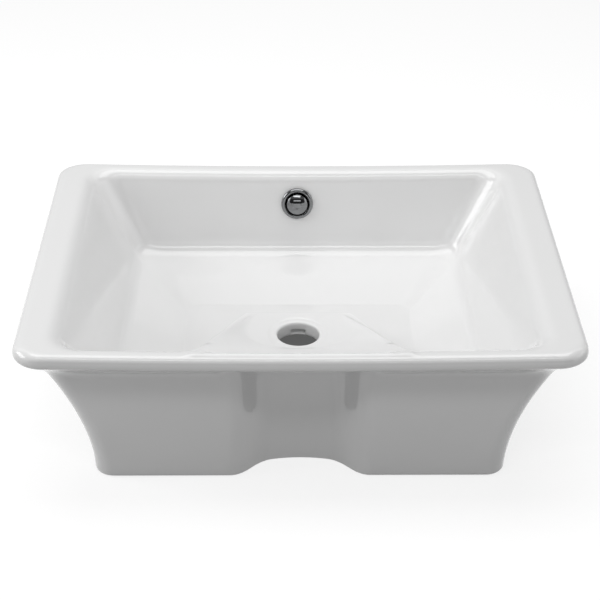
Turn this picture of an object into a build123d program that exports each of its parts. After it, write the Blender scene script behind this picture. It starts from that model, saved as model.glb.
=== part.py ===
from build123d import *
import math
import os

# Countertop basin: one fired ceramic body with a slotted overflow, and its chromed overflow trim.
# Millimetres. Origin at the middle of the foot, +Z up, the front with the niche faces -Y.

# Overall
basin_width = 530.0
basin_depth = 400.0
basin_height = 160.0
rim_corner_radius = 28.0
foot_corner_radius = 18.0
wall = 9.0

# Lip and rim
lip_thickness = 13.0
lip_top_round = 5.5
rim_sag = 3.5
rim_border_side = 38.0
rim_border_front = 20.0
rim_border_back = 22.0
rim_roll = 9.0
rim_roll_depth = 11.0
rim_roll_power = 2.4
rim_underside_depth = 17.0

# Skirt: how far each face stands in from the lip at the foot
skirt_side_inset = 65.0
skirt_front_inset = 32.0
skirt_back_inset = 3.0
skirt_draft = 2.0
front_flare_depth = 50.0
side_flare_power = 1.85
front_flare_power = 2.2
foot_round = 4.0

# Bowl
tier_depth = 91.0
tier_side_inset = 86.0
tier_front_inset = 52.0
tier_back_inset = 39.0
tier_round = 22.0
floor_depth = 111.0
floor_side_inset = 145.0
floor_front_inset = 120.0
floor_back_inset = 127.0
floor_round = 14.0
bowl_corner_radius = 27.0
tier_corner_radius = 21.0
floor_corner_radius = 16.0

# Waste hole
waste_hole_diameter = 44.5
waste_hole_y = 17.0
waste_seat_diameter = 60.0
waste_seat_depth = 115.0
waste_dish_height = 20.0
waste_bore_length = 14.0
waste_boss_wall = 12.0
floor_fall_angle = 2.5

# Front niche, which lets the basin stand over a tap base or a shelf bracket
niche_mouth_width = 126.0
niche_back_width = 74.0
niche_depth = 28.0
niche_arch = 5.0
niche_ceiling_depth = 45.0
niche_ceiling_slope = 25.0
niche_mouth_round = 18.0
niche_inner_round = 14.0

# Ramp that rises from the waste hole to the front rim, over the niche
ramp_width = 202.0
ramp_length = 272.0
ramp_top_depth = 2.0
ramp_slope = 32.8
ramp_shoulder = 12.0
ramp_keel_depth = 12.0
ramp_run_out = 40.0
ramp_flank_angle = 68.0
ramp_softness = 4.0
ramp_crest_power = 2.6
ramp_taper_power = 3.0
ramp_taper_root = 0.6
ramp_taper_limit = 0.95
ramp_least_dish = 0.5
ramp_front_setback = 6.0
ramp_base_drop = 40.0

# Overflow
overflow_depth = 38.0
overflow_hole_diameter = 25.0
overflow_duct_width = 34.0
overflow_duct_height = 8.0
overflow_port_width = 17.0
overflow_port_height = 5.0
overflow_roof = 7.0
overflow_duct_wall = 6.0

# Overflow trim
trim_diameter = 35.5
trim_height = 3.4
trim_edge_round = 1.3
trim_mouth_diameter = 26.5
trim_floor = 1.0
sleeve_diameter = 21.0
sleeve_wall = 1.5
sleeve_reach = 8.5
cap_diameter = 23.0
cap_edge_thickness = 1.2
cap_dome_height = 3.4
cap_lift = 2.6
cap_stud_diameter = 3.0
hub_diameter = 7.0
hub_thickness = 3.0
spoke_width = 2.0
spoke_overlap = 0.5
spoke_count = 3
seal_flange_thickness = 1.2
seal_flange_diameter = 30.0
seal_rib_height = 0.5
seal_rib_count = 3
seal_rib_start = 0.7
fit_clearance = 0.1

# How finely the curved faces are drawn, and how far a cut runs past what it cuts
skirt_sections = 9
section_spacing_power = 1.7
rim_roll_sections = 4
ramp_sections = 9
level_tolerance = 0.05
least_round = 0.2
cut_margin = 1.0


def rising(depth, start, end, power):
    """Share of a flare that is done at a depth below the rim, from 0 to 1."""
    share = min(max((depth - start) / (end - start), 0.0), 1.0)
    return 1.0 - (1.0 - share) ** power


def between(depth, first_depth, first_value, last_depth, last_value):
    share = (depth - first_depth) / (last_depth - first_depth)
    return first_value + (last_value - first_value) * share


def outline(depth, side, front, back, radius):
    """Level rounded rectangle, each side set in from the lip's outline."""
    size_x = basin_width - 2.0 * side
    size_y = basin_depth - front - back
    middle_y = (front - back) / 2.0
    return Pos(0, middle_y, basin_height - depth) * RectangleRounded(size_x, size_y, radius)


def front_inset(depth):
    flare = rising(depth, lip_thickness, front_flare_depth, front_flare_power)
    draft = skirt_draft * max(depth - front_flare_depth, 0.0) / (basin_height - front_flare_depth)
    return (skirt_front_inset - skirt_draft) * flare + draft


def skirt(grow_in):
    """Flared outer skirt from the lip down to the foot; grow_in sets it in for the hollow."""
    top = lip_thickness if grow_in == 0 else rim_underside_depth
    sections = []
    for step in range(skirt_sections + 1):
        depth = top + (basin_height - top) * (step / skirt_sections) ** section_spacing_power
        side = skirt_side_inset * rising(depth, lip_thickness, basin_height, side_flare_power)
        radius = between(depth, 0.0, rim_corner_radius, basin_height, foot_corner_radius)
        sections.append(
            outline(
                depth,
                side + grow_in,
                front_inset(depth) + grow_in,
                skirt_back_inset + grow_in,
                radius - grow_in / 2.0,
            )
        )
    return loft(sections)


def bowl_inset(depth, border, tier_inset):
    """Inset of an upper bowl wall: a straight slope with a rolled edge at the rim."""
    straight = between(depth, 0.0, border, tier_depth, tier_inset)
    roll_left = max(1.0 - depth / rim_roll_depth, 0.0)
    return straight - rim_roll * roll_left ** rim_roll_power


def bowl_outline(depth, drop, grow):
    """Outline of the upper bowl at a depth, grown by the wall and dropped."""
    side = bowl_inset(depth, rim_border_side, tier_side_inset)
    front = bowl_inset(depth, rim_border_front, tier_front_inset)
    back = bowl_inset(depth, rim_border_back, tier_back_inset)
    radius = between(depth, 0.0, bowl_corner_radius, tier_depth, tier_corner_radius)
    return outline(depth + drop, side - grow, front - grow, back - grow, radius + grow)


def bowl(grow):
    """Inside of the bowl as a solid; grow adds the ceramic wall all round it."""
    roll_outlines = []
    for step in range(rim_roll_sections + 1):
        roll_outlines.append(bowl_outline(rim_roll_depth * step / rim_roll_sections, 0.0, grow))
    roll = loft(roll_outlines)
    rolled = bowl_outline(rim_roll_depth, 0.0, grow)
    tier = bowl_outline(tier_depth, grow, grow)
    floor_outline = outline(
        floor_depth + grow,
        floor_side_inset - grow,
        floor_front_inset - grow,
        floor_back_inset - grow,
        floor_corner_radius + grow,
    )
    walls = loft([rolled, tier], ruled=True)
    slopes = loft([tier, floor_outline], ruled=True)
    return roll + walls + slopes


def level_edges(solid, depth):
    """Edges that lie level at a depth below the rim."""
    level = basin_height - depth
    found = ShapeList()
    for edge in solid.edges():
        box = edge.bounding_box()
        if abs(box.min.Z - level) < level_tolerance and abs(box.max.Z - level) < level_tolerance:
            found.append(edge)
    return found


def ramp_start():
    """Where the ramp leaves the front rim, along Y."""
    return -basin_depth / 2.0 + rim_border_front - rim_roll + ramp_top_depth


def ramp_middle_depth(y):
    """Depth of the ramp's middle: a straight slope that runs under the bowl's floor."""
    slope = math.tan(math.radians(ramp_slope))
    deepest = waste_seat_depth + ramp_keel_depth
    left = (deepest - slope * (y - ramp_start())) / ramp_softness
    return deepest - ramp_softness * math.log(1.0 + math.exp(left))


def ramp_crest_depth(y):
    """Depth of the ramp's two shoulders, which run out behind the waste hole."""
    slope = math.tan(math.radians(ramp_slope))
    length = waste_hole_y + ramp_run_out - ramp_start()
    reach = max((y - ramp_start()) / length, 0.0)
    full = slope * length
    return slope * (y - ramp_start()) - (full - floor_depth) * reach ** ramp_crest_power


def ramp_half_width(y):
    share = min(max((y - ramp_start()) / ramp_length, 0.0), ramp_taper_limit)
    return ramp_width / 2.0 * (1.0 - share ** ramp_taper_power) ** ramp_taper_root


def ramp_section(y, shrink):
    """Closed outline across the ramp: level base, leaning flanks, rounded shoulders, dished top."""
    base = basin_height - floor_depth - ramp_base_drop
    lean = 1.0 / math.tan(math.radians(ramp_flank_angle))
    crest = basin_height - ramp_crest_depth(y) - shrink
    middle = min(basin_height - ramp_middle_depth(y) - shrink, crest - ramp_least_dish)
    half = ramp_half_width(y) - shrink
    dish_radius = (half ** 2 + (crest - middle) ** 2) / (2.0 * (crest - middle))
    top_x = half - ramp_shoulder
    top_z = middle + dish_radius - math.sqrt(dish_radius ** 2 - top_x ** 2)
    top_slope = top_x / math.sqrt(dish_radius ** 2 - top_x ** 2)
    corner_x = (half + lean * (crest - top_z + top_slope * top_x)) / (1.0 + lean * top_slope)
    corner_z = top_z + top_slope * (corner_x - top_x)
    flank_z = corner_z - ramp_shoulder
    flank_x = corner_x + ramp_shoulder * lean
    foot_x = corner_x + (corner_z - base) * lean
    right_shoulder = Edge.make_bezier((flank_x, y, flank_z), (corner_x, y, corner_z), (top_x, y, top_z))
    left_shoulder = Edge.make_bezier((-top_x, y, top_z), (-corner_x, y, corner_z), (-flank_x, y, flank_z))
    edges = [
        Edge.make_line((foot_x, y, base), (flank_x, y, flank_z)),
        right_shoulder,
        Edge.make_three_point_arc((top_x, y, top_z), (0.0, y, middle), (-top_x, y, top_z)),
        left_shoulder,
        Edge.make_line((-flank_x, y, flank_z), (-foot_x, y, base)),
        Edge.make_line((-foot_x, y, base), (foot_x, y, base)),
    ]
    return Face(Wire(edges))


def ramp(shrink):
    """Ramp across the bowl's front; shrink makes the hollow below it."""
    nose = waste_hole_y + ramp_run_out
    front = -basin_depth / 2.0 + ramp_front_setback
    sections = []
    for step in range(ramp_sections + 1):
        y = front + (nose - front) * step / ramp_sections
        sections.append(ramp_section(y, shrink))
    return loft(sections)


def niche(grow):
    """Recess in the front that runs up from the foot and fades under the lip."""
    face_y = -basin_depth / 2.0 + skirt_front_inset - skirt_draft
    back_y = face_y + niche_depth + grow
    deep_y = back_y + niche_arch
    mouth = niche_mouth_width / 2.0 + grow
    inner = niche_back_width / 2.0 + grow
    side_length = math.hypot(mouth - inner, back_y - face_y)
    turn = math.atan2(back_y - face_y, mouth - inner)
    ease = max(niche_mouth_round - grow, least_round) * math.tan(turn / 2.0)
    eased_x = mouth - (mouth - inner) * ease / side_length
    eased_y = face_y + (back_y - face_y) * ease / side_length
    lip_x = mouth + ease
    with BuildSketch() as plan:
        with BuildLine():
            Polyline((lip_x, face_y), (lip_x, -basin_depth), (-lip_x, -basin_depth), (-lip_x, face_y))
            Bezier((-lip_x, face_y), (-mouth, face_y), (-eased_x, eased_y))
            Line((-eased_x, eased_y), (-inner, back_y))
            ThreePointArc((-inner, back_y), (0, deep_y), (inner, back_y))
            Line((inner, back_y), (eased_x, eased_y))
            Bezier((eased_x, eased_y), (mouth, face_y), (lip_x, face_y))
        make_face()
        fillet(plan.vertices().filter_by(lambda v: abs(v.Y - back_y) < level_tolerance), niche_inner_round)
    prism = extrude(plan.sketch, amount=basin_height)
    slope = math.tan(math.radians(niche_ceiling_slope))
    ceiling_back = basin_height - niche_ceiling_depth + grow
    far_y = deep_y + 2.0 * wall
    near_z = ceiling_back + slope * (deep_y + basin_depth / 2.0)
    with BuildSketch(Plane.YZ) as side:
        with BuildLine():
            Polyline(
                (far_y, ceiling_back - slope * (far_y - deep_y)),
                (-basin_depth / 2.0, near_z),
                (-basin_depth, near_z),
                (-basin_depth, -cut_margin),
                (far_y, -cut_margin),
                close=True,
            )
        make_face()
    return prism & extrude(side.sketch, amount=basin_width / 2.0, both=True)


def overflow_plane():
    """Seat of the overflow trim on the bowl's back wall, its Z out of the wall."""
    y = basin_depth / 2.0 - bowl_inset(overflow_depth, rim_border_back, tier_back_inset)
    lean = math.atan((tier_back_inset - rim_border_back) / tier_depth)
    normal = (0, -math.cos(lean), math.sin(lean))
    return Plane((0, y, basin_height - overflow_depth), x_dir=(1, 0, 0), z_dir=normal)


def duct(grow):
    """Overflow channel behind the back wall and under the floor, down to the waste hole."""
    skirt_face = basin_depth / 2.0 - skirt_back_inset - wall + grow
    top_depth = overflow_depth - overflow_hole_diameter / 2.0 - cut_margin
    top_y = basin_depth / 2.0 - bowl_inset(top_depth, rim_border_back, tier_back_inset) + wall - grow
    tier_y = basin_depth / 2.0 - tier_back_inset + wall - grow
    floor_y = basin_depth / 2.0 - floor_back_inset
    tier_z = basin_height - tier_depth - wall
    roof_z = basin_height - waste_seat_depth - overflow_roof
    low_z = roof_z - overflow_duct_height - grow
    boss_y = waste_hole_y + waste_hole_diameter / 2.0 + waste_boss_wall - grow
    with BuildSketch(Plane.YZ) as side:
        with BuildLine():
            Polyline(
                (top_y, basin_height - top_depth + grow),
                (skirt_face, basin_height - top_depth + grow),
                (skirt_face, tier_z - overflow_duct_height - grow),
                (floor_y + wall, low_z),
                (boss_y, low_z),
                (boss_y, roof_z + grow),
                (floor_y - wall, roof_z + grow),
                (tier_y, tier_z + grow),
                close=True,
            )
        make_face()
    return extrude(side.sketch, amount=overflow_duct_width / 2.0 + grow, both=True)


def overflow_port():
    """Slot through the waste hole's wall where the overflow channel ends."""
    reach = waste_boss_wall + waste_hole_diameter / 2.0 + cut_margin
    roof_z = basin_height - waste_seat_depth - overflow_roof
    slot = Box(overflow_port_width, reach, overflow_port_height, align=(Align.CENTER, Align.MIN, Align.MAX))
    return Pos(0, waste_hole_y, roof_z) * slot


def fall_cone():
    """Slight fall of the bowl's floor towards the waste hole."""
    seat_radius = waste_seat_diameter / 2.0
    rise = waste_seat_depth - floor_depth
    reach = rise / math.tan(math.radians(floor_fall_angle))
    cone = Cone(seat_radius, seat_radius + reach, rise, align=(Align.CENTER, Align.CENTER, Align.MIN))
    return Pos(0, waste_hole_y, basin_height - waste_seat_depth) * cone


def waste_cylinder(diameter, top_depth, bottom_depth):
    height = bottom_depth - top_depth
    column = Cylinder(diameter / 2.0, height, align=(Align.CENTER, Align.CENTER, Align.MIN))
    return Pos(0, waste_hole_y, basin_height - bottom_depth) * column


def waste_dish():
    """Dished seat round the waste hole, cut into the foot of the ramp."""
    seat_radius = waste_seat_diameter / 2.0
    rise = waste_dish_height
    dish = Cone(seat_radius, seat_radius + rise, rise, align=(Align.CENTER, Align.CENTER, Align.MIN))
    return Pos(0, waste_hole_y, basin_height - waste_seat_depth) * dish


def sag_cut():
    """What the slight sag of the rim takes off the flat top."""
    half = basin_width / 2.0 + cut_margin
    with BuildSketch(Plane.XZ) as front:
        with BuildLine():
            Line((-half, basin_height), (half, basin_height))
            ThreePointArc((half, basin_height), (0, basin_height - rim_sag), (-half, basin_height))
        make_face()
    return extrude(front.sketch, amount=basin_depth, both=True)


def outer_body():
    """Lip and skirt as a solid block, with its outer edges rounded."""
    lip = extrude(outline(lip_thickness, 0.0, 0.0, 0.0, rim_corner_radius), amount=lip_thickness)
    block = skirt(0.0) + lip - sag_cut()
    rim_edges = block.edges().filter_by(lambda edge: edge.center().Z > basin_height - rim_sag - cut_margin)
    block = fillet(rim_edges, lip_top_round)
    return fillet(level_edges(block, basin_height), foot_round)


def hollow():
    """Space inside the skirt and under the bowl, open at the foot."""
    under_bowl = bowl(wall) - ramp(wall)
    boss_diameter = waste_hole_diameter + 2.0 * waste_boss_wall
    boss = waste_cylinder(boss_diameter, waste_seat_depth, waste_seat_depth + waste_bore_length)
    return skirt(wall) - under_bowl - niche(wall) - boss - duct(overflow_duct_wall)


def bowl_space():
    """Everything that the bowl's inner surface encloses, with the ramp standing in it."""
    space = bowl(0.0)
    space = fillet(level_edges(space, tier_depth), tier_round)
    space = fillet(level_edges(space, floor_depth), floor_round)
    return space + fall_cone() - ramp(0.0) + waste_dish()


def basin_body():
    """The fired ceramic: bowl, rim and skirt in one piece."""
    body = outer_body() - hollow() - bowl_space() - niche(0.0)
    body = body - waste_cylinder(waste_hole_diameter, waste_seat_depth - cut_margin, basin_height)
    body = body - duct(0.0) - overflow_port()
    return body - overflow_plane() * Cylinder(overflow_hole_diameter / 2.0, 2.0 * (wall + cut_margin))


def turned(points):
    """Solid turned about the trim's own axis from an outline of radius and height."""
    with BuildSketch(Plane.XZ) as section:
        with BuildLine():
            Polyline(*points, close=True)
        make_face()
    return revolve(section.sketch, Axis.Z)


def trim_ring():
    """Chromed flange with its sleeve and the spider that holds the cap."""
    base = seal_flange_thickness
    top = base + trim_height
    sleeve_radius = sleeve_diameter / 2.0
    bore = sleeve_radius - sleeve_wall
    outer = trim_diameter / 2.0
    mouth = trim_mouth_diameter / 2.0
    ring = turned(
        [
            (bore, -sleeve_reach),
            (sleeve_radius, -sleeve_reach),
            (sleeve_radius, base),
            (outer, base),
            (outer, top - trim_edge_round),
            (outer - trim_edge_round, top),
            (mouth + trim_edge_round / 2.0, top),
            (mouth, top - trim_edge_round),
            (mouth, base + trim_floor),
            (bore, base + trim_floor),
        ]
    )
    hub = Cylinder(hub_diameter / 2.0, hub_thickness)
    spokes = []
    for number in range(spoke_count):
        reach = bore + spoke_overlap
        spoke = Pos(reach / 2.0, 0, 0) * Box(reach, spoke_width, hub_thickness)
        spokes.append(Rot(0, 0, 90.0 + number * 360.0 / spoke_count) * spoke)
    stud_hole = Cylinder(cap_stud_diameter / 2.0 + fit_clearance, hub_thickness + 2.0 * cut_margin)
    return ring + hub + spokes - stud_hole


def trim_cap():
    """Domed chromed cap on a stud, standing off the ring so that water passes behind it."""
    under = seal_flange_thickness + trim_floor + cap_lift
    radius = cap_diameter / 2.0
    sphere_radius = (radius ** 2 + cap_dome_height ** 2) / (2.0 * cap_dome_height)
    rim = under + cap_edge_thickness
    with BuildSketch(Plane.XZ) as section:
        with BuildLine():
            Polyline((0, rim + cap_dome_height), (0, under), (radius, under), (radius, rim))
            mid_x = radius / 2.0
            mid_z = rim + cap_dome_height - sphere_radius + math.sqrt(sphere_radius ** 2 - mid_x ** 2)
            ThreePointArc((radius, rim), (mid_x, mid_z), (0, rim + cap_dome_height))
        make_face()
    dome = revolve(section.sketch, Axis.Z)
    stud_length = under + hub_thickness / 2.0
    stud = Cylinder(cap_stud_diameter / 2.0, stud_length, align=(Align.CENTER, Align.CENTER, Align.MAX))
    return dome + Pos(0, 0, under) * stud


def trim_seal():
    """Rubber washer and ribbed bush that seals the ring and grips the overflow hole."""
    bore = sleeve_diameter / 2.0 + fit_clearance
    grip = overflow_hole_diameter / 2.0 - fit_clearance
    body = grip - seal_rib_height
    flange = seal_flange_diameter / 2.0
    pitch = sleeve_reach / (seal_rib_count + 1)
    points = [(bore, seal_flange_thickness), (bore, -sleeve_reach), (body, -sleeve_reach)]
    for number in range(seal_rib_count):
        height = -sleeve_reach + pitch * (number + seal_rib_start)
        points.append((body, height))
        points.append((grip, height + seal_rib_height))
        points.append((body, height + 2.0 * seal_rib_height))
    points.append((body, 0.0))
    points.append((flange, 0.0))
    points.append((flange, seal_flange_thickness))
    return turned(points)


def write(shape, name):
    export_step(shape, "parts/" + name + ".step")


os.makedirs("parts", exist_ok=True)
seat = overflow_plane()
write(basin_body(), "basin_body")
write(seat * trim_ring(), "overflow_ring")
write(seat * trim_cap(), "overflow_cap")
write(seat * trim_seal(), "overflow_seal")
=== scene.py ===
import math

import bmesh
import bpy
from mathutils import Matrix, Vector, noise


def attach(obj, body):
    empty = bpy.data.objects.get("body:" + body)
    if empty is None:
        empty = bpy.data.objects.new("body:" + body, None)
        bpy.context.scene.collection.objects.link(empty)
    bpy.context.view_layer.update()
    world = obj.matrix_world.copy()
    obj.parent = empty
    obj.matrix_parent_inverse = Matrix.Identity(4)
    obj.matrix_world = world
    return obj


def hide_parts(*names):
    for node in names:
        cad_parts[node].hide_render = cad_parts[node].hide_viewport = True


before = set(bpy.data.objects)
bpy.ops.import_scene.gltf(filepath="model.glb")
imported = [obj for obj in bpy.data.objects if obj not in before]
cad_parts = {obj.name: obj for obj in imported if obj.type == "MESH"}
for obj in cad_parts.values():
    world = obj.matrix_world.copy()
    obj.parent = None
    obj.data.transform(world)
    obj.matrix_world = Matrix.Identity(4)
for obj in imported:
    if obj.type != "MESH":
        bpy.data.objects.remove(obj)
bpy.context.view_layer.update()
print("stage: frame loaded")

mm = 0.001


def softMax(a, b, reach):
    gap = max(reach - abs(a - b), 0.0) / reach
    return max(a, b) + gap * gap * reach / 4.0


def softMin(a, b, reach):
    return -softMax(-a, -b, reach)


def smoothStep(low, high, value):
    share = min(max((value - low) / (high - low), 0.0), 1.0)
    return share * share * (3.0 - 2.0 * share)


def mix(a, b, share):
    return a + (b - a) * share


def bezierPoint(start, control, end, t):
    return tuple((1 - t) ** 2 * s + 2 * t * (1 - t) * c + t * t * e for s, c, e in zip(start, control, end))


def makeObject(name, bm, material):
    mesh = bpy.data.meshes.new(name)
    bm.to_mesh(mesh)
    bm.free()
    for face in mesh.polygons:
        face.use_smooth = True
    mesh.materials.append(material)
    piece = bpy.data.objects.new(name, mesh)
    bpy.context.scene.collection.objects.link(piece)
    return piece


def newMaterial(name):
    material = bpy.data.materials.new(name)
    material.use_nodes = True
    tree = material.node_tree
    return material, tree, tree.nodes["Principled BSDF"]


glaze = {
    "color": (0.862, 0.863, 0.865),
    "colorThin": (0.842, 0.842, 0.838),
    "patchScale": 7.0,
    "roughness": 0.07,
    "coat": 0.35,
    "rampRoughness": 0.34,
    "waveScale": 26.0,
    "waveHeight": 0.0006,
    "waveStrength": 0.35,
    "peelScale": 420.0,
    "peelHeight": 0.00002,
}


def makeGlaze():
    material, tree, shader = newMaterial("glazedCeramic")
    nodes, links = tree.nodes, tree.links
    where = nodes.new("ShaderNodeTexCoord")
    patches = nodes.new("ShaderNodeTexNoise")
    patches.inputs["Scale"].default_value = glaze["patchScale"]
    patches.inputs["Detail"].default_value = 3.0
    links.new(where.outputs["Object"], patches.inputs["Vector"])
    tint = nodes.new("ShaderNodeMix")
    tint.data_type = "RGBA"
    tint.inputs["A"].default_value = (*glaze["colorThin"], 1.0)
    tint.inputs["B"].default_value = (*glaze["color"], 1.0)
    links.new(patches.outputs["Fac"], tint.inputs["Factor"])
    links.new(tint.outputs["Result"], shader.inputs["Base Color"])
    waves = nodes.new("ShaderNodeTexNoise")
    waves.inputs["Scale"].default_value = glaze["waveScale"]
    waves.inputs["Detail"].default_value = 1.0
    links.new(where.outputs["Object"], waves.inputs["Vector"])
    waveBump = nodes.new("ShaderNodeBump")
    waveBump.inputs["Distance"].default_value = glaze["waveHeight"]
    links.new(waves.outputs["Fac"], waveBump.inputs["Height"])
    calm = nodes.new("ShaderNodeAttribute")
    calm.attribute_name = "waviness"
    strength = nodes.new("ShaderNodeMath")
    strength.operation = "MULTIPLY"
    strength.inputs[1].default_value = glaze["waveStrength"]
    links.new(calm.outputs["Fac"], strength.inputs[0])
    links.new(strength.outputs[0], waveBump.inputs["Strength"])
    peel = nodes.new("ShaderNodeTexNoise")
    peel.inputs["Scale"].default_value = glaze["peelScale"]
    links.new(where.outputs["Object"], peel.inputs["Vector"])
    peelBump = nodes.new("ShaderNodeBump")
    peelBump.inputs["Strength"].default_value = 0.3
    peelBump.inputs["Distance"].default_value = glaze["peelHeight"]
    links.new(peel.outputs["Fac"], peelBump.inputs["Height"])
    links.new(waveBump.outputs["Normal"], peelBump.inputs["Normal"])
    links.new(peelBump.outputs["Normal"], shader.inputs["Normal"])
    # the ramp's glaze is a little more matt
    gloss = nodes.new("ShaderNodeAttribute")
    gloss.attribute_name = "gloss"
    matt = nodes.new("ShaderNodeMapRange")
    matt.inputs["To Min"].default_value = glaze["rampRoughness"]
    matt.inputs["To Max"].default_value = glaze["roughness"]
    links.new(gloss.outputs["Fac"], matt.inputs["Value"])
    links.new(matt.outputs["Result"], shader.inputs["Roughness"])
    links.new(matt.outputs["Result"], shader.inputs["Coat Roughness"])
    shader.inputs["IOR"].default_value = 1.5
    shader.inputs["Coat Weight"].default_value = glaze["coat"]
    return material


# the base colour is darker than bare chrome: painted shade standing in for the dark surroundings the trim
# mirrors
chrome = {"color": (0.26, 0.265, 0.27), "roughness": 0.06, "smearScale": 90.0, "smearRoughness": 0.14}


def makeChrome():
    material, tree, shader = newMaterial("chromePlate")
    nodes, links = tree.nodes, tree.links
    where = nodes.new("ShaderNodeTexCoord")
    smears = nodes.new("ShaderNodeTexNoise")
    smears.inputs["Scale"].default_value = chrome["smearScale"]
    smears.inputs["Detail"].default_value = 4.0
    links.new(where.outputs["Object"], smears.inputs["Vector"])
    dull = nodes.new("ShaderNodeMapRange")
    dull.inputs["From Min"].default_value = 0.45
    dull.inputs["From Max"].default_value = 0.80
    dull.inputs["To Min"].default_value = chrome["roughness"]
    dull.inputs["To Max"].default_value = chrome["smearRoughness"]
    links.new(smears.outputs["Fac"], dull.inputs["Value"])
    links.new(dull.outputs["Result"], shader.inputs["Roughness"])
    shader.inputs["Base Color"].default_value = (*chrome["color"], 1.0)
    shader.inputs["Metallic"].default_value = 1.0
    return material


rubber = {"color": (0.022, 0.022, 0.024), "roughness": 0.62, "grainScale": 900.0}


def makeRubber():
    material, tree, shader = newMaterial("sealRubber")
    nodes, links = tree.nodes, tree.links
    where = nodes.new("ShaderNodeTexCoord")
    grain = nodes.new("ShaderNodeTexNoise")
    grain.inputs["Scale"].default_value = rubber["grainScale"]
    links.new(where.outputs["Object"], grain.inputs["Vector"])
    bump = nodes.new("ShaderNodeBump")
    bump.inputs["Strength"].default_value = 0.4
    bump.inputs["Distance"].default_value = 0.00005
    links.new(grain.outputs["Fac"], bump.inputs["Height"])
    links.new(bump.outputs["Normal"], shader.inputs["Normal"])
    shader.inputs["Base Color"].default_value = (*rubber["color"], 1.0)
    shader.inputs["Roughness"].default_value = rubber["roughness"]
    return material


glazeMaterial = makeGlaze()
chromeMaterial = makeChrome()
rubberMaterial = makeRubber()
print("stage: materials made")


basin = {
    "width": 530.0, "depth": 400.0, "height": 160.0,
    "lipRadius": 28.0, "footRadius": 18.0, "wall": 9.0,
    "lipThickness": 13.0, "lipRound": 8.0, "lipUnder": 9.5, "rimSag": 3.5,
    "rollDepth": 11.0, "rollWidth": 11.0,
    "tierRound": 22.0, "floorRound": 14.0,
    "bowlRadius": 27.0, "tierRadius": 21.0, "floorRadius": 16.0,
    "footRound": 4.0, "flareDepth": 50.0, "flareTop": 17.0, "draft": 2.0,
    "sideFlarePower": 1.85, "frontFlarePower": 2.2, "backStep": 4.0,
    "floorRun": 14.0, "floorFall": 0.3,
    "waviness": 0.28, "waveLength": 62.0,
}
# how far each side stands in from the lip: (left and right, front, back)
border = (38.0, 20.0, 22.0)
tierInset = (86.0, 52.0, 39.0)
floorInset = (145.0, 120.0, 127.0)
skirtInset = (65.0, 30.0, 3.0)
tierDepth, floorDepth, seatDepth = 91.0, 111.0, 112.5

ramp = {
    "startY": -187.0, "slope": math.tan(math.radians(32.8)), "keel": 127.0, "softness": 4.0,
    "runOut": 57.0, "crestPower": 2.6, "halfWidth": 101.0, "length": 272.0,
    "flank": math.tan(math.radians(68.0)), "shoulder": 9.0,
    "taperPower": 3, "taperRoot": 0.6, "taperLimit": 0.95, "leastDish": 0.5,
    # how softly it joins the bowl, the rim and, over this range of Y, the floor at its nose
    "blend": 9.0, "rimBlend": 8.0, "noseBlend": 1.5, "noseRange": (-70.0, 0.0),
    # where it takes the place of the rolled rim: along Y, and across from its edge
    "rimRange": (-193.0, -183.0), "rimEndRange": (-170.0, -150.0), "rimSideRange": (-26.0, -6.0),
}
waste = {"y": 17.0, "radius": 22.25, "seatRadius": 30.0, "boreEnd": 129.0, "bossRadius": 34.25,
         "portHalf": 8.5, "portTop": 122.0, "portHeight": 5.0, "portDeep": 9.0,
         "dishReach": 70.0, "dishBlend": 2.5}
niche = {
    "faceY": -170.0, "mouthHalf": 63.0, "backHalf": 37.0, "backY": -142.0, "arch": 5.0,
    "ceilingDepth": 45.0, "ceilingSlope": math.tan(math.radians(25.0)), "mouthBlend": 9.0, "backBlend": 8.0,
}
overflow = {"depth": 38.0, "radius": 12.5, "pocket": 15.0, "cutReach": 4.0}
duct = {"half": 23.0, "lowZ": 24.0, "startY": 82.0, "endY": 197.0, "endZ": 46.0, "edge": 3.0, "bossEdge": 4.0}
# the hollow under the bowl, whose surface starts round the boss and ends at the foot
hollow = {
    "bossClearance": 1.5, "rampDrop": 10.7, "rampBlend": 12.0, "top": 17.0,
    "gap": 1.0, "cornerGap": 8.0, "footRise": 3.0, "footEdge": 1.2, "footFlat": 6.0,
}
# where the body is even: (none, full) waviness along a distance or a height
evenZones = {
    "trim": (30.0, 60.0), "waste": (24.0, 60.0), "foot": (4.0, 30.0), "rim": (140.0, 156.0),
    "lip": (1.0, 14.0), "behindRamp": (40.0, 90.0), "besideRamp": (0.0, 26.0),
}

# columns of the body's mesh along each side, and how the front ones spread outside the ramp
columnCounts = {"rampHalf": 44, "outerHalf": 24, "corner": 16, "side": 46, "backHalf": 44}
columnSpread = {"widestShare": 0.8, "blend": 8.0, "power": 1.25}
# rows of the mesh from the foot round to the foot again
rowCounts = {
    "foot": 5, "skirt": 34, "under": 7, "lip": 8, "rim": 7, "roll": 9, "wall": 16, "tierArc": 10,
    "slope": 12, "floorArc": 8, "floor": 44, "bossToFloor": 12, "innerSkirt": 20, "hollow": 36,
}


def rising(depth, start, end, power):
    share = min(max((depth - start) / (end - start), 0.0), 1.0)
    return 1.0 - (1.0 - share) ** power


def skirtAt(depth):
    lip, height = basin["lipThickness"], basin["height"]
    flare = basin["flareDepth"]
    draft = basin["draft"] * max(depth - flare, 0.0) / (height - flare)
    side = skirtInset[0] * rising(depth, lip, height, basin["sideFlarePower"])
    front = skirtInset[1] * rising(depth, lip, flare, basin["frontFlarePower"]) + draft
    back = skirtInset[2] * smoothStep(lip, lip + basin["backStep"], depth)
    return side, front, back


def rampHalfAt(y):
    share = min(max((y - ramp["startY"]) / ramp["length"], 0.0), ramp["taperLimit"])
    return ramp["halfWidth"] * (1.0 - share ** ramp["taperPower"]) ** ramp["taperRoot"]


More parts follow.
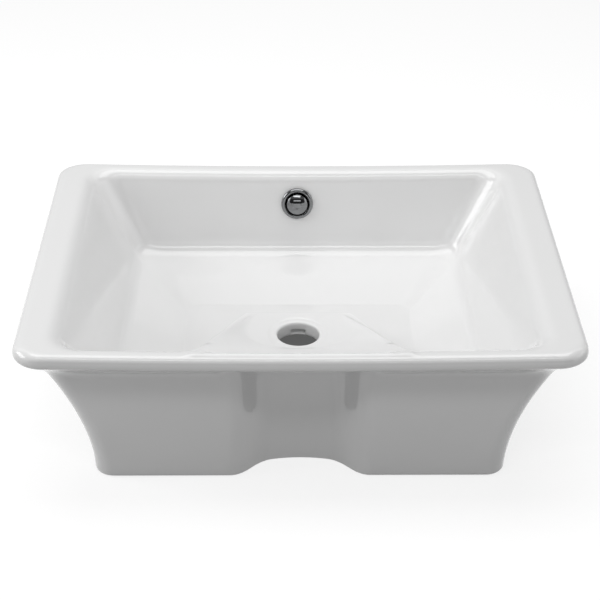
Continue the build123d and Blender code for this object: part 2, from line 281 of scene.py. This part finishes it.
def rampHeight(x, y, shrink=0.0):
    run = y - ramp["startY"]
    keel = ramp["keel"]
    left = (keel - ramp["slope"] * run) / ramp["softness"]
    middle = keel - ramp["softness"] * math.log(1.0 + math.exp(min(left, 60.0)))  # 60 keeps exp in range
    length = ramp["runOut"] - ramp["startY"]
    full = ramp["slope"] * length
    reach = max(run / length, 0.0)
    crest = ramp["slope"] * run - (full - floorDepth) * reach ** ramp["crestPower"]
    crest = min(crest, middle - ramp["leastDish"])
    half = rampHalfAt(y) - shrink
    top = middle + (crest - middle) * (x / half) ** 2
    side = crest + (abs(x) - half) * ramp["flank"]
    return basin["height"] - softMax(top, side, ramp["shoulder"])


def columnList():
    # each column: (side, share along it, outward direction in plan,
    # weights of the side, front and back profiles)
    columns = []
    n = columnCounts
    for i in range(n["rampHalf"] + n["outerHalf"]):
        share = i / n["rampHalf"] if i <= n["rampHalf"] else 1.0 + (i - n["rampHalf"]) / n["outerHalf"]
        columns.append(("front", share, (0.0, -1.0), (0.0, 1.0, 0.0)))
    for i in range(n["corner"]):
        angle = math.pi / 2.0 * i / n["corner"]
        side = math.sin(angle) ** 2
        columns.append(("frontCorner", angle, (math.sin(angle), -math.cos(angle)), (side, 1.0 - side, 0.0)))
    for i in range(n["side"]):
        columns.append(("side", i / n["side"], (1.0, 0.0), (1.0, 0.0, 0.0)))
    for i in range(n["corner"]):
        angle = math.pi / 2.0 * i / n["corner"]
        side = math.cos(angle) ** 2
        columns.append(("backCorner", angle, (math.cos(angle), math.sin(angle)), (side, 0.0, 1.0 - side)))
    for i in range(n["backHalf"] + 1):
        columns.append(("back", 1.0 - i / n["backHalf"], (0.0, 1.0), (0.0, 0.0, 1.0)))
    # the left half mirrors the right one
    for side, share, out, weights in columns[-2:0:-1]:
        columns.append(("left " + side, share, (-out[0], out[1]), weights))
    return columns


columns = columnList()


def planPoint(column, insets, radius):
    name, share, out = column[:3]
    mirror = -1.0 if name.startswith("left ") else 1.0
    name = name.replace("left ", "")
    edgeX = basin["width"] / 2.0 - insets[0]
    frontY = -basin["depth"] / 2.0 + insets[1]
    backY = basin["depth"] / 2.0 - insets[2]
    straight = edgeX - radius
    if name == "front":
        half = softMin(rampHalfAt(frontY), columnSpread["widestShare"] * straight, columnSpread["blend"])
        if share <= 1.0:
            x = share * half
        else:
            x = half + (straight - half) * (share - 1.0) ** columnSpread["power"]
        y = frontY
    elif name == "frontCorner":
        x = straight + radius * abs(out[0])
        y = frontY + radius + radius * out[1]
    elif name == "side":
        x, y = edgeX, mix(frontY + radius, backY - radius, share)
    elif name == "backCorner":
        x = straight + radius * abs(out[0])
        y = backY - radius + radius * out[1]
    else:
        x, y = share * straight, backY
    return mirror * x, y


def filletedPath(points, radii, straightSteps, arcSteps):
    # points of a path in the (inset, depth) plane with its corners rounded
    path = []
    cut = [0.0] * len(points)
    for i, radius in enumerate(radii, start=1):
        a, b, c = Vector(points[i - 1]), Vector(points[i]), Vector(points[i + 1])
        turn = (b - a).angle(c - b)
        cut[i] = radius * math.tan(turn / 2.0)
    for i in range(len(points) - 1):
        a, b = Vector(points[i]), Vector(points[i + 1])
        along = (b - a).normalized()
        start, end = a + along * cut[i], b - along * cut[i + 1]
        for step in range(straightSteps[i]):
            path.append(tuple(start.lerp(end, step / straightSteps[i])))
        if i < len(radii):
            nextAlong = (Vector(points[i + 2]) - b).normalized()
            leave = b + nextAlong * cut[i + 1]
            for step in range(arcSteps[i]):
                t = step / arcSteps[i]
                # a rational arc through the tangent points
                turn = along.angle(nextAlong)
                weight = math.cos(turn / 2.0)
                w0, w1, w2 = (1 - t) ** 2, 2 * t * (1 - t) * weight, t * t
                point = (end * w0 + b * w1 + leave * w2) / (w0 + w1 + w2)
                path.append(tuple(point))
    path.append(tuple(points[-1]))
    return path


def wallPath(k, grow):
    # from the bottom of the rolled rim down the wall, tier and slope to the floor
    slope = (tierInset[k] - border[k]) / tierDepth
    start = (border[k] + slope * basin["rollDepth"] - grow, basin["rollDepth"] + grow)
    tier = (tierInset[k] - grow, tierDepth + grow)
    floor = (floorInset[k] - grow, floorDepth + grow)
    fall = basin["floorFall"] if grow == 0.0 else 0.0
    inner = (floorInset[k] - grow + basin["floorRun"], floorDepth + grow + fall)
    rounds = [basin["tierRound"] + grow, basin["floorRound"] + grow]
    straights = [rowCounts["wall"], rowCounts["slope"], 1]
    arcs = [rowCounts["tierArc"], rowCounts["floorArc"]]
    return filletedPath([start, tier, floor, inner], rounds, straights, arcs)


def upperRows():
    # rows from the foot's outer edge up the skirt, over the lip and rim and down to the floor:
    # one (inset, depth) per side
    rows = []
    height, footRound = basin["height"], basin["footRound"]
    lipUnder, top, footTop = basin["lipUnder"], basin["flareTop"], height - footRound
    foot, low, under = skirtAt(height), skirtAt(footTop), skirtAt(top)
    for step in range(rowCounts["foot"]):
        t = step / rowCounts["foot"]
        row = []
        for k in range(3):
            row.append(bezierPoint((foot[k] + footRound, height), (foot[k], height), (low[k], footTop), t))
        rows.append(row)
    steps = rowCounts["skirt"]
    for step in range(steps):
        # closer together towards the lip
        depth = footTop - (footTop - top) * (1.0 - (1.0 - step / steps) ** 1.5)
        inset = skirtAt(depth)
        rows.append([(inset[k], depth) for k in range(3)])
    for step in range(rowCounts["under"]):
        t = step / rowCounts["under"]
        lip = (0.0, basin["lipThickness"])
        rows.append([bezierPoint((under[k], top), lip, (0.0, lipUnder), t) for k in range(3)])
    nose = basin["lipRound"]
    for step in range(rowCounts["lip"]):
        t = step / rowCounts["lip"]
        rows.append([bezierPoint((0.0, lipUnder), (0.0, 0.0), (nose, 0.0), t) for k in range(3)])
    for step in range(rowCounts["rim"]):
        t = step / rowCounts["rim"]
        rows.append([(mix(nose, border[k] - basin["rollWidth"], t), 0.0) for k in range(3)])
    for step in range(rowCounts["roll"]):
        t = step / rowCounts["roll"]
        row = []
        for k in range(3):
            slope = (tierInset[k] - border[k]) / tierDepth
            end = (border[k] + slope * basin["rollDepth"], basin["rollDepth"])
            row.append(bezierPoint((border[k] - basin["rollWidth"], 0.0), (border[k], 0.0), end, t))
        rows.append(row)
    paths = [wallPath(k, 0.0) for k in range(3)]
    for step in range(len(paths[0])):
        rows.append([path[step] for path in paths])
    return rows


def rowRadius(depth, inside):
    if not inside:
        return mix(basin["lipRadius"], basin["footRadius"], depth / basin["height"])
    if depth <= tierDepth:
        return mix(basin["bowlRadius"], basin["tierRadius"], depth / tierDepth)
    share = min((depth - tierDepth) / (floorDepth - tierDepth), 1.0)
    return mix(basin["tierRadius"], basin["floorRadius"], share)


def rowPoint(row, column, radius):
    weights = column[3]
    x, y = planPoint(column, [pair[0] for pair in row], radius)
    depth = sum(weight * pair[1] for weight, pair in zip(weights, row))
    return Vector((x, y, basin["height"] - depth))


def pushNiche(point, grow=0.0):
    # the niche moves the front face back, out of sight under the flare
    x, y, z = abs(point.x), point.y, point.z
    mouth, back = niche["mouthHalf"] + grow, niche["backHalf"] + grow
    flank = niche["faceY"] + (niche["backY"] - niche["faceY"]) * (mouth - x) / (mouth - back)
    deep = niche["backY"] + niche["arch"] * (1.0 - (x / back) ** 2) + grow
    wallY = softMin(flank + grow, deep, niche["backBlend"])
    overCeiling = z - (basin["height"] - niche["ceilingDepth"]) - grow
    ceilingY = niche["backY"] + niche["arch"] + grow - overCeiling / niche["ceilingSlope"]
    wallY = softMin(wallY, ceilingY, niche["backBlend"])
    return Vector((point.x, softMax(y, wallY, niche["mouthBlend"]), z))


def raiseRamp(point):
    # the ramp stands in the bowl, and the dish round the waste hole is sunk into its end
    x, y, z = point
    top = softMin(rampHeight(x, y), basin["height"], ramp["rimBlend"])
    blend = mix(ramp["blend"], ramp["noseBlend"], smoothStep(*ramp["noseRange"], y))
    high = softMax(z, top, blend)
    # at the front rim the ramp takes the place of the rolled edge
    atRim = smoothStep(*ramp["rimRange"], y) * (1.0 - smoothStep(*ramp["rimEndRange"], y))
    high = mix(high, top, atRim * (1.0 - smoothStep(*ramp["rimSideRange"], abs(x) - rampHalfAt(y))))
    away = math.hypot(x, y - waste["y"])
    dish = basin["height"] - seatDepth + max(away - waste["seatRadius"], 0.0)
    if away < waste["dishReach"]:
        high = softMin(high, dish, waste["dishBlend"])
    return Vector((x, y, high))


def sagged(point, low, high):
    # the rim hangs through a little in the middle; what lies below low stays
    share = smoothStep(low, high, point.z)
    drop = basin["rimSag"] * (1.0 - (point.x / (basin["width"] / 2.0)) ** 2)
    return Vector((point.x, point.y, point.z - drop * share))


def bodyRings():
    rings = []
    rows = upperRows()
    lipRow = rowCounts["foot"] + rowCounts["skirt"] + rowCounts["under"] + rowCounts["lip"]
    for index, row in enumerate(rows):
        meanDepth = sum(pair[1] for pair in row) / 3.0
        inside = index >= lipRow
        radius = rowRadius(meanDepth, inside)
        ring = []
        for column in columns:
            point = rowPoint(row, column, radius)
            if inside:
                ring.append(sagged(raiseRamp(point), 137.0, 157.0))
                continue
            if column[2][1] < 0.0:
                point = pushNiche(point)
            ring.append(sagged(point, 120.0, 150.0))
        rings.append(ring)
    # floor, from the end of the slope's fillet to the seat
    centre = Vector((0.0, waste["y"]))
    floorRing = [rowPoint(rows[-1], column, basin["floorRadius"]) for column in columns]
    steps = rowCounts["floor"]
    for step in range(1, steps + 1):
        u = step / steps
        ring = []
        for edge in floorRing:
            flat = Vector((edge.x, edge.y))
            away = (flat - centre).normalized()
            target = centre + away * waste["seatRadius"]
            place = flat.lerp(target, u)
            point = Vector((place.x, place.y, mix(edge.z, basin["height"] - seatDepth, u)))
            ring.append(raiseRamp(point))
        rings.append(ring)
    # seat, bore and boss: (radius, depth)
    bore, end, boss = waste["radius"], waste["boreEnd"], waste["bossRadius"]
    profile = [(27.0, 112.6), (24.8, 112.75), (23.6, 113.05), (22.9, 113.6), (22.45, 114.4), (bore, 115.6)]
    profile += [(bore, depth) for depth in (117.0, 118.6, 120.3, 122.0, 123.25, 124.5, 125.75, 127.0)]
    profile += [(bore + 0.6, 128.4), (bore + 2.0, end), (28.0, end), (32.0, end)]
    profile += [(33.6, end - 0.7), (boss, end - 2.2), (boss, 124.5)]
    for radius, depth in profile:
        ring = []
        for edge in floorRing:
            away = (Vector((edge.x, edge.y)) - centre).normalized() * radius
            ring.append(Vector((away.x, away.y + waste["y"], basin["height"] - depth)))
        rings.append(ring)
    return rings


def ductHeight(y):
    # underside of the overflow channel, which climbs from the boss to the back wall
    share = max(y - duct["startY"], 0.0) / (duct["endY"] - duct["startY"])
    return duct["lowZ"] + share * (duct["endZ"] - duct["lowZ"])


def underColumns():
    # the hollow: each column runs from the boss out under the bowl,
    # meets the skirt's inner face and goes down to the foot
    paths = [wallPath(k, basin["wall"]) for k in range(3)]
    rows = [[path[step] for path in paths] for step in range(len(paths[0]))]
    height, wall = basin["height"], basin["wall"]
    centre = Vector((0.0, waste["y"]))
    ductEdge = (duct["half"] - duct["edge"], duct["half"] + duct["edge"])
    lines = []
    for column in columns:
        bowlLine = []
        floorPoint = rowPoint(rows[-1], column, basin["floorRadius"] + wall)
        away = (Vector((floorPoint.x, floorPoint.y)) - centre).normalized()
        away = away * (waste["bossRadius"] + hollow["bossClearance"])
        boss = Vector((away.x, away.y + waste["y"], floorPoint.z))
        for step in range(rowCounts["bossToFloor"]):
            bowlLine.append(boss.lerp(floorPoint, step / rowCounts["bossToFloor"]))
        for row in reversed(rows):
            depth = sum(pair[1] for pair in row) / 3.0
            bowlLine.append(rowPoint(row, column, rowRadius(depth - wall, True) + wall))
        line = []
        outward = Vector((*column[2], 0.0))

        def skirtPoint(z):
            depth = height - z
            row = [(value + wall, depth) for value in skirtAt(max(depth, basin["lipThickness"]))]
            point = rowPoint(row, column, rowRadius(depth, False) - wall / 2.0)
            return pushNiche(point, wall) if column[2][1] < 0.0 else point

        leastGap = hollow["cornerGap"] if "Corner" in column[0] else hollow["gap"]
        previous = None
        for point in bowlLine:
            x, y, z = point
            z = softMax(z, rampHeight(x, y, wall) - hollow["rampDrop"], hollow["rampBlend"])
            if y > waste["y"] + waste["bossRadius"] - duct["bossEdge"]:
                z = mix(z, min(z, ductHeight(y)), 1.0 - smoothStep(*ductEdge, abs(x)))
            z = min(z, height - hollow["top"])
            point = Vector((x, y, z))
            gap = (skirtPoint(z) - point).dot(outward)
            if gap < leastGap:
                if previous is not None:
                    line.append(previous.lerp(point, 0.5))
                break
            line.append(point)
            previous = point
        top = line[-1].z
        steps = rowCounts["innerSkirt"]
        for step in range(1, steps + 1):
            line.append(skirtPoint(mix(top, hollow["footRise"], step / steps)))
        footInset, edge = skirtAt(height), hollow["footEdge"]
        for inset, z in ((wall, edge), (wall - edge, 0.0), (hollow["footFlat"], 0.0)):
            row = [(value + inset, height - z) for value in footInset]
            point = rowPoint(row, column, basin["footRadius"] - inset / 2.0)
            line.append(pushNiche(point, inset) if column[2][1] < 0.0 else point)
        lines.append(line)
    return lines


def resample(line, count):
    # as many points on every line, evenly spaced
    lengths = [0.0]
    for a, b in zip(line, line[1:]):
        lengths.append(lengths[-1] + (b - a).length)
    total = lengths[-1]
    points = []
    index = 0
    for step in range(count):
        goal = total * step / (count - 1)
        while index < len(line) - 2 and lengths[index + 1] < goal:
            index += 1
        span = max(lengths[index + 1] - lengths[index], 1e-9)
        share = min(max((goal - lengths[index]) / span, 0.0), 1.0)
        points.append(line[index].lerp(line[index + 1], share))
    return points


def makeBody():
    rings = bodyRings()
    lines = [resample(line, rowCounts["hollow"]) for line in underColumns()]
    # the body starts and ends at the foot's flat underside
    rings += [[line[step] for line in lines] for step in range(rowCounts["hollow"])]
    bm = bmesh.new()
    count = len(columns)
    first = bmesh.ops.create_circle(bm, cap_ends=False, radius=1.0, segments=count)["verts"]
    ring = list(first)
    for vert, point in zip(ring, rings[0]):
        vert.co = point * mm
    edges = [bm.edges.get((ring[i], ring[(i + 1) % count])) for i in range(count)]
    firstEdges = list(edges)
    for points in rings[1:]:
        made = bmesh.ops.extrude_edge_only(bm, edges=edges)["geom"]
        newVerts = {item for item in made if isinstance(item, bmesh.types.BMVert)}
        nextRing = []
        for vert in ring:
            joined = (edge.other_vert(vert) for edge in vert.link_edges)
            nextRing.append(next(other for other in joined if other in newVerts))
        ring = nextRing
        for vert, point in zip(ring, points):
            vert.co = point * mm
        edges = [bm.edges.get((ring[i], ring[(i + 1) % count])) for i in range(count)]
    bmesh.ops.bridge_loops(bm, edges=edges + firstEdges)
    bmesh.ops.recalc_face_normals(bm, faces=bm.faces[:])
    return bm


def ripple(bm):
    # slight unevenness of a slip-cast, fired wall; none at the lip, the trim and the waste hole
    bm.normal_update()
    length = basin["waveLength"] * mm
    calm = bm.verts.layers.float.new("waviness")
    gloss = bm.verts.layers.float.new("gloss")
    moves = []
    for vert in bm.verts:
        x, y, z = vert.co / mm
        trimZ = basin["height"] - overflow["depth"]
        still = smoothStep(*evenZones["trim"], math.hypot(x, z - trimZ)) if y > 150.0 else 1.0
        still *= smoothStep(*evenZones["waste"], math.hypot(x, y - waste["y"]))
        still *= smoothStep(*evenZones["foot"], z) * (1.0 - 0.8 * smoothStep(*evenZones["rim"], z))
        fromLip = min(basin["width"] / 2.0 - abs(x), basin["depth"] / 2.0 - abs(y))
        still *= smoothStep(*evenZones["lip"], fromLip)
        overRamp = smoothStep(*evenZones["behindRamp"], y) if y > -186.0 and z > 30.0 else 1.0
        besideRamp = max(overRamp, smoothStep(*evenZones["besideRamp"], abs(x) - rampHalfAt(y)))
        # the skirt and the niche lie in front of and below the ramp
        if y < -130.0 and z < basin["height"] - 16.0 - ramp["slope"] * (y - ramp["startY"]):
            besideRamp = 1.0
        still *= besideRamp
        vert[calm] = still
        vert[gloss] = besideRamp
        value = noise.noise(vert.co / length + Vector((3.1, 7.7, 1.3)))
        moves.append(vert.normal * (value * basin["waviness"] * mm * still))
    for vert, move in zip(bm.verts, moves):
        vert.co += move


def trimFrame():
    # the trim's own plane on the bowl's back wall, Z out of the wall
    slope = (tierInset[2] - border[2]) / tierDepth
    lean = math.atan(slope)
    y = basin["depth"] / 2.0 - (border[2] + slope * overflow["depth"])
    origin = Vector((0.0, y, basin["height"] - overflow["depth"])) * mm
    normal = Vector((0.0, -math.cos(lean), math.sin(lean)))
    return Matrix.Translation(origin) @ normal.to_track_quat("Z", "Y").to_matrix().to_4x4()


def cutOverflow(bm):
    # a round pocket behind the trim
    place = trimFrame()
    back = place.inverted()
    inside = []
    for face in bm.faces:
        local = back @ face.calc_center_median()
        near = math.hypot(local.x, local.y) < (overflow["radius"] - 0.8) * mm
        if near and abs(local.z) < overflow["cutReach"] * mm:
            inside.append(face)
    bmesh.ops.delete(bm, geom=inside, context="FACES")
    rim = [edge for edge in bm.edges if edge.is_boundary]
    for vert in {vert for edge in rim for vert in edge.verts}:
        local = back @ vert.co
        flat = Vector((local.x, local.y)).normalized() * overflow["radius"] * mm
        vert.co = place @ Vector((flat.x, flat.y, local.z))
    made = bmesh.ops.extrude_edge_only(bm, edges=rim)["geom"]
    inner = place.to_3x3() @ Vector((0.0, 0.0, -overflow["pocket"] * mm))
    bmesh.ops.translate(bm, verts=[item for item in made if isinstance(item, bmesh.types.BMVert)], vec=inner)
    end = [edge for edge in bm.edges if edge.is_boundary]
    bmesh.ops.holes_fill(bm, edges=end, sides=0)


def cutPort(bm):
    # the slot in the waste hole's wall where the overflow channel ends
    chosen = []
    for face in bm.faces:
        x, y, z = face.calc_center_median() / mm
        onBore = abs(math.hypot(x, y - waste["y"]) - waste["radius"]) < 0.8
        high = basin["height"] - waste["portTop"]
        level = high - waste["portHeight"] < z < high
        if onBore and level and y > waste["y"] and abs(x) < waste["portHalf"]:
            chosen.append(face)
    made = bmesh.ops.extrude_face_region(bm, geom=chosen)["geom"]
    bmesh.ops.delete(bm, geom=chosen, context="FACES")
    verts = [item for item in made if isinstance(item, bmesh.types.BMVert)]
    bmesh.ops.translate(bm, verts=verts, vec=Vector((0.0, waste["portDeep"] * mm, 0.0)))


bodyMesh = makeBody()
ripple(bodyMesh)
cutOverflow(bodyMesh)
cutPort(bodyMesh)
bmesh.ops.recalc_face_normals(bodyMesh, faces=bodyMesh.faces[:])
basinPiece = makeObject("glazed_basin", bodyMesh, glazeMaterial)
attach(basinPiece, "root")
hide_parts("basin_body")
print("stage: basin body,", len(basinPiece.data.polygons), "faces")


trim = {
    "segments": 96, "base": 1.2, "outer": 17.75, "height": 3.4, "mouth": 13.25,
    "sleeve": 10.5, "sleeveWall": 1.5, "sleeveReach": 8.5, "floor": 1.0,
    "capRadius": 11.5, "capEdge": 1.2, "capDome": 3.4, "capLift": 2.6, "studRadius": 1.5,
    "hubRadius": 3.5, "hubThickness": 3.0, "spokeWidth": 2.0, "spokes": 3,
}


def spunShape(bm, points, closed):
    # spins an outline of (radius, height) round the trim's own axis
    verts = [bm.verts.new((radius * mm, 0.0, height * mm)) for radius, height in points]
    edges = [bm.edges.new(pair) for pair in zip(verts, verts[1:])]
    if closed:
        edges.append(bm.edges.new((verts[-1], verts[0])))
    bmesh.ops.spin(bm, geom=verts + edges, cent=(0, 0, 0), axis=(0, 0, 1), angle=2.0 * math.pi,
                   steps=trim["segments"], use_merge=True)
    bmesh.ops.remove_doubles(bm, verts=bm.verts[:], dist=1e-6)


def curve(start, control, end, steps):
    return [bezierPoint(start, control, end, step / steps) for step in range(1, steps + 1)]


def makeFlange():
    base, top = trim["base"], trim["base"] + trim["height"]
    outer, mouth, sleeve = trim["outer"], trim["mouth"], trim["sleeve"]
    bore = sleeve - trim["sleeveWall"]
    bottom = -trim["sleeveReach"]
    floor, ease = base + trim["floor"], 0.3
    points = [(bore, bottom + ease), (bore + ease, bottom), (sleeve - ease, bottom), (sleeve, bottom + ease),
              (sleeve, base), (outer - 0.4, base), (outer, base + 0.4)]
    points += curve((outer, base + 0.4), (outer, top - 0.2), (outer - 2.6, top), 8)
    points += curve((outer - 2.6, top), (mouth + 0.5, top + 0.02), (mouth, top - 1.3), 7)
    points += [(mouth, floor + ease), (mouth - ease, floor), (bore + ease, floor), (bore, floor - ease)]
    bm = bmesh.new()
    spunShape(bm, points, True)
    # hub and spokes inside the sleeve
    half = trim["hubThickness"] / 2.0
    stud = trim["studRadius"] + 0.1
    hub = trim["hubRadius"]
    hubPoints = [(stud, -half), (hub - 0.2, -half), (hub, -half + 0.2), (hub, half - 0.2), (hub - 0.2, half),
                 (stud, half)]
    spunShape(bm, hubPoints, True)
    for number in range(trim["spokes"]):
        reach = bore + 0.5 - (hub - 0.5)
        turn = Matrix.Rotation(math.radians(90.0) + number * 2.0 * math.pi / trim["spokes"], 4, "Z")
        size = Matrix.Diagonal((reach * mm, trim["spokeWidth"] * mm, 2.0 * half * mm, 1.0))
        middle = Matrix.Translation(((hub - 0.5 + reach / 2.0) * mm, 0.0, 0.0))
        bmesh.ops.create_cube(bm, size=1.0, matrix=turn @ middle @ size)
    bmesh.ops.recalc_face_normals(bm, faces=bm.faces[:])
    bmesh.ops.transform(bm, matrix=trimFrame(), verts=bm.verts[:])
    return makeObject("overflow_flange", bm, chromeMaterial)


def makeDome():
    under = trim["base"] + trim["floor"] + trim["capLift"]
    edge = under + trim["capEdge"]
    radius, rise = trim["capRadius"], trim["capDome"]
    sphere = (radius ** 2 + rise ** 2) / (2.0 * rise)
    stud = trim["studRadius"]
    end = -trim["hubThickness"] / 2.0
    points = [(0.0, end), (stud - 0.3, end), (stud, end + 0.3), (stud, under - 0.4), (stud + 0.4, under),
              (radius - 0.4, under), (radius, under + 0.4), (radius, edge - 0.5)]
    # the dome starts inside its rounded edge
    startR = radius * 0.93
    startZ = edge + rise - sphere + math.sqrt(sphere ** 2 - startR ** 2)
    points += curve((radius, edge - 0.5), (radius, edge + 0.12), (startR, startZ), 5)
    steps = 14
    for step in range(1, steps + 1):
        r = startR * (1.0 - step / steps)
        points.append((r, edge + rise - sphere + math.sqrt(sphere ** 2 - r ** 2)))
    bm = bmesh.new()
    spunShape(bm, points, False)
    bmesh.ops.recalc_face_normals(bm, faces=bm.faces[:])
    bmesh.ops.transform(bm, matrix=trimFrame(), verts=bm.verts[:])
    return makeObject("overflow_dome", bm, chromeMaterial)


flangePiece = makeFlange()
domePiece = makeDome()
for piece, node in ((flangePiece, "overflow_ring"), (domePiece, "overflow_cap")):
    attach(piece, "root")
    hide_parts(node)

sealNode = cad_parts["overflow_seal"]
sealNode.data.materials.clear()
sealNode.data.materials.append(rubberMaterial)
print("stage: overflow trim")


studio = {
    "floorColor": 0.34, "floorGlow": 0.75, "floorSize": 5.0,
    "sky": 0.27, "background": 1.0,
    # half width and the Y range of the painted shade under the basin, which the drain shows; shadeLevel is
    # the floor's glow there
    "shadeHalf": 0.18, "shadeY": (-0.10, 0.17), "shadeEdge": 0.02, "shadeLevel": 0.13,
}
# softboxes: name, place, size, radiance
lamps = (
    ("topSoftbox", (0.0, 0.28, 1.60), (1.68, 0.98), 2.45),
    ("frontStrip", (-0.10, -1.08, 1.65), (1.60, 0.28), 3.20),
    ("cameraStrip", (0.0, -2.60, 1.35), (2.40, 0.35), 1.40),
    ("leftSoftbox", (-1.60, -0.10, 0.95), (1.00, 0.80), 3.60),
    ("rightSoftbox", (1.60, -0.10, 0.95), (1.00, 0.80), 0.60),
)
# cards that only mirror rays meet: name, place, size, direction they face, level
cards = (
    ("frontCard", (0.0, -3.40, 1.40), (8.0, 4.0), (0.0, 1.0, 0.0), 0.05),
    ("topCard", (0.0, -1.00, 2.70), (8.0, 5.0), (0.0, 0.0, -1.0), 0.20),
    ("backCard", (0.0, 3.40, 1.60), (8.0, 4.0), (0.0, -1.0, 0.0), 0.45),
)


def seenDirectly(tree):
    # 1 for camera, mirror and glass rays, 0 for the light that falls on the object
    nodes, links = tree.nodes, tree.links
    path = nodes.new("ShaderNodeLightPath")
    add = nodes.new("ShaderNodeMath")
    add.operation = "MAXIMUM"
    links.new(path.outputs["Is Camera Ray"], add.inputs[0])
    links.new(path.outputs["Is Glossy Ray"], add.inputs[1])
    last = nodes.new("ShaderNodeMath")
    last.operation = "MAXIMUM"
    links.new(add.outputs[0], last.inputs[0])
    links.new(path.outputs["Is Transmission Ray"], last.inputs[1])
    return last.outputs[0]


def outsideShade(tree):
    # 0 on the floor under the basin's hollow, 1 elsewhere: the shape of the painted shade on the floor's glow
    nodes, links = tree.nodes, tree.links
    where = nodes.new("ShaderNodeTexCoord")
    split = nodes.new("ShaderNodeSeparateXYZ")
    links.new(where.outputs["Object"], split.inputs["Vector"])
    low, high = studio["shadeY"]
    middle = nodes.new("ShaderNodeMath")
    middle.operation = "SUBTRACT"
    middle.inputs[1].default_value = (low + high) / 2.0
    links.new(split.outputs["Y"], middle.inputs[0])
    found = []
    for socket, half in ((split.outputs["X"], studio["shadeHalf"]), (middle.outputs[0], (high - low) / 2.0)):
        size = nodes.new("ShaderNodeMath")
        size.operation = "ABSOLUTE"
        links.new(socket, size.inputs[0])
        edge = nodes.new("ShaderNodeMapRange")
        edge.inputs["From Min"].default_value = half - studio["shadeEdge"]
        edge.inputs["From Max"].default_value = half
        edge.inputs["To Min"].default_value = studio["shadeLevel"]
        links.new(size.outputs[0], edge.inputs["Value"])
        found.append(edge.outputs["Result"])
    either = nodes.new("ShaderNodeMath")
    either.operation = "MAXIMUM"
    links.new(found[0], either.inputs[0])
    links.new(found[1], either.inputs[1])
    return either.outputs[0]


def makeFloor():
    material = bpy.data.materials.new("studioFloor")
    material.use_nodes = True
    tree = material.node_tree
    tree.nodes.clear()
    nodes, links = tree.nodes, tree.links
    output = nodes.new("ShaderNodeOutputMaterial")
    matte = nodes.new("ShaderNodeBsdfDiffuse")
    matte.inputs["Color"].default_value = (*[studio["floorColor"]] * 3, 1.0)
    glow = nodes.new("ShaderNodeEmission")
    strength = nodes.new("ShaderNodeMath")
    strength.operation = "MULTIPLY"
    strength.inputs[1].default_value = studio["floorGlow"]
    links.new(seenDirectly(tree), strength.inputs[0])
    lit = nodes.new("ShaderNodeMath")
    lit.operation = "MULTIPLY"
    links.new(strength.outputs[0], lit.inputs[0])
    # under the hollow the glow drops to a painted shade level, seen through the drain
    links.new(outsideShade(tree), lit.inputs[1])
    links.new(lit.outputs[0], glow.inputs["Strength"])
    both = nodes.new("ShaderNodeAddShader")
    links.new(matte.outputs[0], both.inputs[0])
    links.new(glow.outputs[0], both.inputs[1])
    links.new(both.outputs[0], output.inputs["Surface"])
    bm = bmesh.new()
    bmesh.ops.create_grid(bm, x_segments=1, y_segments=1, size=studio["floorSize"])
    floor = makeObject("studio_floor", bm, material)


def makeWorld():
    world = bpy.data.worlds.new("studioSky")
    bpy.context.scene.world = world
    world.use_nodes = True
    tree = world.node_tree
    back = tree.nodes["Background"]
    back.inputs["Color"].default_value = (1.0, 1.0, 1.0, 1.0)
    level = tree.nodes.new("ShaderNodeMapRange")
    level.inputs["To Min"].default_value = studio["sky"]
    level.inputs["To Max"].default_value = studio["background"]
    tree.links.new(seenDirectly(tree), level.inputs["Value"])
    tree.links.new(level.outputs["Result"], back.inputs["Strength"])


def makeLamp(name, place, size, radiance):
    lamp = bpy.data.lights.new(name, "AREA")
    lamp.shape = "RECTANGLE"
    lamp.size, lamp.size_y = size
    lamp.energy = radiance * math.pi * size[0] * size[1]
    holder = bpy.data.objects.new(name, lamp)
    bpy.context.scene.collection.objects.link(holder)
    holder.location = place
    aim = Vector((0.0, 0.0, 0.08))
    holder.rotation_euler = (aim - Vector(place)).to_track_quat("-Z", "Y").to_euler()


def makeCard(name, place, size, facing, level):
    material = bpy.data.materials.new(name)
    material.use_nodes = True
    tree = material.node_tree
    tree.nodes.clear()
    glow = tree.nodes.new("ShaderNodeEmission")
    glow.inputs["Color"].default_value = (level, level, level, 1.0)
    output = tree.nodes.new("ShaderNodeOutputMaterial")
    tree.links.new(glow.outputs[0], output.inputs["Surface"])
    turn = Vector(facing).to_track_quat("Z", "Y").to_matrix().to_4x4()
    shape = Matrix.Diagonal((size[0], size[1], 1.0, 1.0))
    bm = bmesh.new()
    place = Matrix.Translation(place) @ turn @ shape
    bmesh.ops.create_grid(bm, x_segments=1, y_segments=1, size=0.5, matrix=place)
    card = makeObject(name, bm, material)
    card.visible_camera = False
    card.visible_diffuse = False
    card.visible_shadow = False
    card.visible_transmission = False


def makeCamera():
    place = Vector((-0.01981, -1.36326, 0.92770))
    yaw, pitch, roll = 0.0155, 0.5461, 0.0070
    ahead = Vector((math.sin(yaw) * math.cos(pitch), math.cos(yaw) * math.cos(pitch), -math.sin(pitch)))
    right = Vector((math.cos(yaw), -math.sin(yaw), 0.0))
    up = right.cross(ahead)
    tiltedRight = right * math.cos(roll) + up * math.sin(roll)
    tiltedUp = -right * math.sin(roll) + up * math.cos(roll)
    turn = Matrix((tiltedRight, tiltedUp, -ahead)).transposed()
    lens = bpy.data.cameras.new("photoCamera")
    lens.lens = 92.65
    lens.sensor_width = 36.0
    camera = bpy.data.objects.new("photoCamera", lens)
    camera.matrix_world = Matrix.Translation(place) @ turn.to_4x4()
    bpy.context.scene.collection.objects.link(camera)
    bpy.context.scene.camera = camera


makeFloor()
makeWorld()
for lamp in lamps:
    makeLamp(*lamp)
for card in cards:
    makeCard(*card)
makeCamera()
bpy.context.scene.view_settings.view_transform = "Standard"
print("stage: studio")
